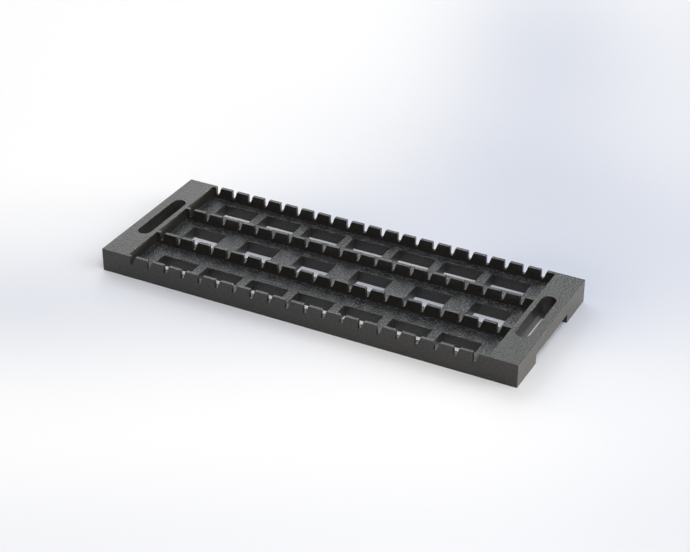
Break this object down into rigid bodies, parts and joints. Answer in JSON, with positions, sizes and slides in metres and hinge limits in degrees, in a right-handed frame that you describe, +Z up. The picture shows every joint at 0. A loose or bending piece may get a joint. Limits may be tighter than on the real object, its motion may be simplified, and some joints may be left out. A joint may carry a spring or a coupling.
{
  "type": "test panel tray",
  "caption": "Long flat tray moulded in one piece, with notched comb walls that hold rows of leaning test panels, a windowed floor and a hand slot in each end.",
  "frame": {"origin": "on the ground under the middle of the tray", "axes": "+X along the length, towards the end that the notches' sloping flanks face away from; +Y from front to back; +Z up"},
  "size_m": [0.5842, 0.2182, 0.032],
  "materials": {
    "body": "black, with a fine sand texture all over"
  },
  "bodies": {
    "root": {"tray": "body"}
  },
  "joints": []
}
